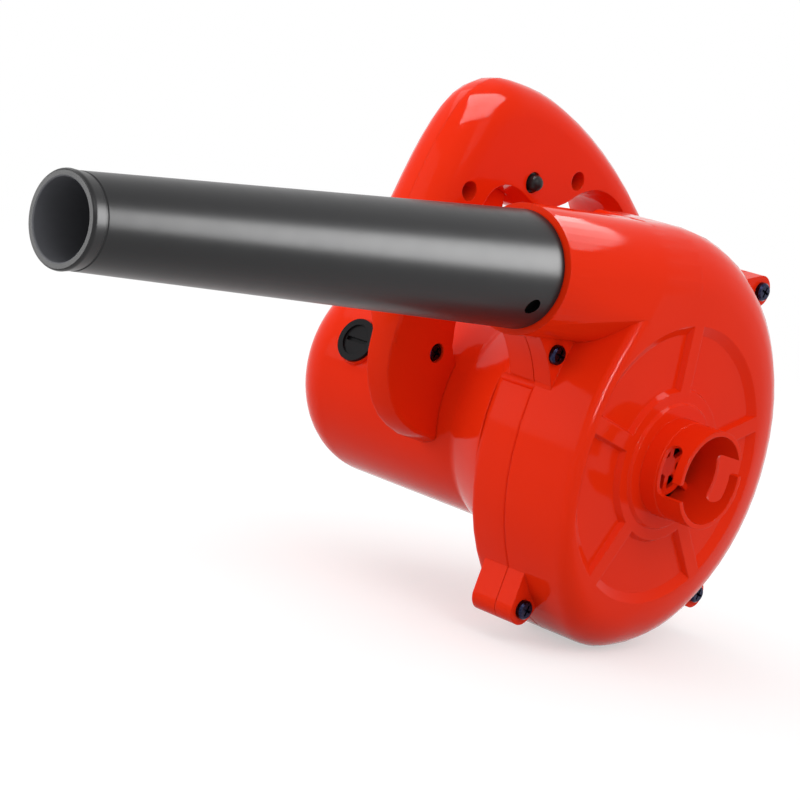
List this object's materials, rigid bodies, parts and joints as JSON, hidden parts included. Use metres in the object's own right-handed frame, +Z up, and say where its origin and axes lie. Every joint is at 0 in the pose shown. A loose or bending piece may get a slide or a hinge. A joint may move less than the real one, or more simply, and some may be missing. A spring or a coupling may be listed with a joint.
{
  "type": "car dryer blower",
  "caption": "Hand-held blower with a spiral fan casing, a bayonet intake collar, a round motor barrel, a trigger D handle and a long tapered nozzle.",
  "frame": {"origin": "on the fan's axis in the intake face, 1.4 mm behind the foot of the intake collar's band", "axes": "+X along the nozzle, towards its mouth; +Y out of the intake collar; +Z up, towards the grip"},
  "size_m": [0.4123, 0.206, 0.2267],
  "materials": {
    "shell_plastic": "glossy moulded plastic",
    "nozzle_plastic": "satin moulded plastic",
    "black_steel": "blackened screw",
    "steel": "bright steel",
    "core_steel": "stacked steel sheet",
    "copper": "copper wire and bars",
    "brass": "drawn brass",
    "carbon": "pressed carbon",
    "switch_plastic": "moulded plastic",
    "fan_plastic": "glass-filled plastic",
    "cast_aluminium": "die cast"
  },
  "bodies": {
    "housing": {"fan_cover": "shell_plastic", "motor_housing": "shell_plastic", "handle_cover": "shell_plastic", "housing_screws": "black_steel", "handle_screws": "black_steel", "trigger_spring": "steel", "lock_spring": "steel", "switch_body": "switch_plastic", "front_bearing": "steel", "rear_bearing": "steel", "bearing_plate": "cast_aluminium", "plate_screws": "steel", "field_core": "core_steel", "field_coils": "copper", "brush_holders": "brass", "carbon_brushes": "carbon", "brush_springs": "steel", "brush_caps": "nozzle_plastic"},
    "rotor": {"impeller": "fan_plastic", "fan_nut": "steel", "fan_washer": "steel", "rotor_shaft": "steel", "armature_core": "core_steel", "armature_windings": "copper", "commutator": "copper", "bearing_inner_rings": "steel"},
    "trigger": {"trigger": "shell_plastic"},
    "lock_button": {"lock_button": "nozzle_plastic"},
    "nozzle": {"nozzle": "nozzle_plastic"}
  },
  "joints": [
    {"name": "rotor_spin", "type": "hinge", "parent": "housing", "child": "rotor", "pos_m": [0, -0.1, 0], "axis": [0, 1, 0], "continuous": true},
    {"name": "trigger_pull", "type": "slide", "parent": "housing", "child": "trigger", "axis": [0, 0, 1], "range_m": [0, 0.005], "stiffness_N_per_m": 600, "springref_m": -0.004, "deforming": ["trigger_spring"]},
    {"name": "lock_press", "type": "slide", "parent": "housing", "child": "lock_button", "axis": [0, -1, 0], "range_m": [0, 0.003], "stiffness_N_per_m": 500, "springref_m": -0.002, "deforming": ["lock_spring"]},
    {"name": "nozzle_twist", "type": "hinge", "parent": "housing", "child": "nozzle", "pos_m": [0.083, -0.034, 0.0709], "axis": [-1, 0, 0], "range_deg": [0, 40]}
  ]
}
